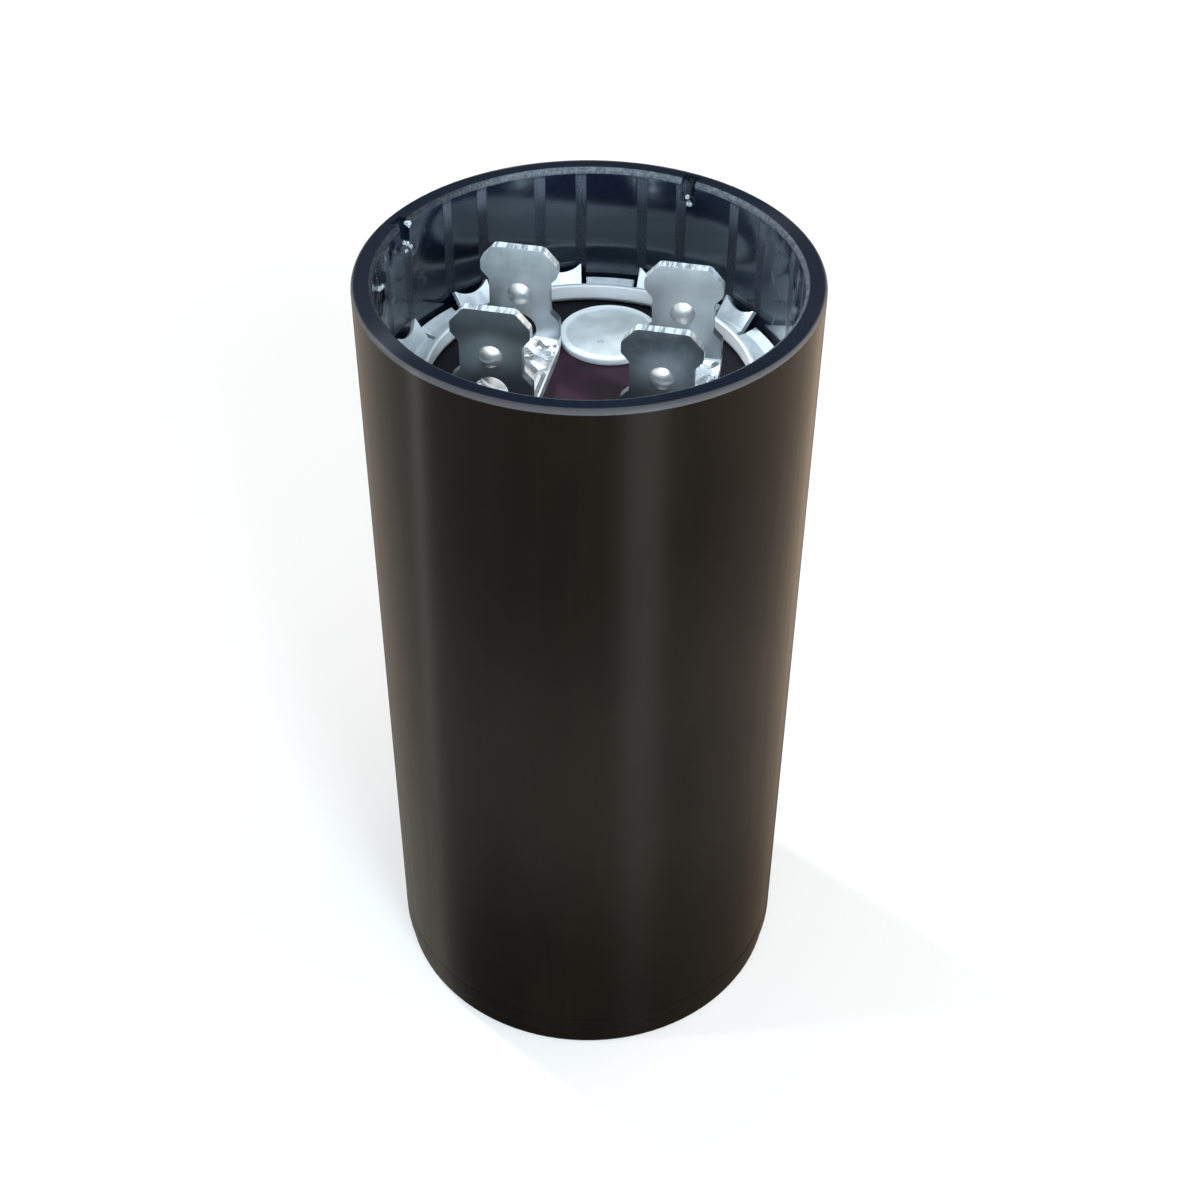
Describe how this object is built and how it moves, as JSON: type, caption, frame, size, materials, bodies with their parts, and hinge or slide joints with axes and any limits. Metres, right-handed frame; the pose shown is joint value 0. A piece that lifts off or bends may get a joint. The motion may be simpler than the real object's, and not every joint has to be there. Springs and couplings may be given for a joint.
{
  "type": "motor start capacitor",
  "caption": "Cylindrical motor start capacitor: black moulded case, header disc set below the rim, sprung retaining ring with biting tabs, and push-on blade terminals.",
  "frame": {"origin": "centre of the flat base that the part stands on", "axes": "+Z along the case axis towards the open recess, X along the row of the two terminals, -Y towards the side that the picture shows"},
  "size_m": [0.0364, 0.0364, 0.0734],
  "materials": {
    "case_moulding": "semi-gloss black moulding with fine scuffs",
    "wound_paper": "damp foil and paper roll",
    "lead_foil": "plain foil",
    "gasket_rubber": "matt",
    "header_board": "maroon paper laminate, slightly glossy",
    "ring_steel": "bright plated spring steel",
    "terminal_tin": "tin plated, drawn grain",
    "rivet_metal": "satin",
    "vent_rubber": "pale grey, matt"
  },
  "bodies": {
    "root": {"case": "case_moulding", "wound_section": "wound_paper", "lead_tab_left": "lead_foil", "lead_tab_right": "lead_foil", "gasket": "gasket_rubber", "header_disc": "header_board", "retaining_ring": "ring_steel", "terminal_left": "terminal_tin", "terminal_right": "terminal_tin", "rivet_left": "rivet_metal", "rivet_right": "rivet_metal", "rivet_washer_left": "rivet_metal", "rivet_washer_right": "rivet_metal", "vent_plug": "vent_rubber"}
  },
  "joints": []
}
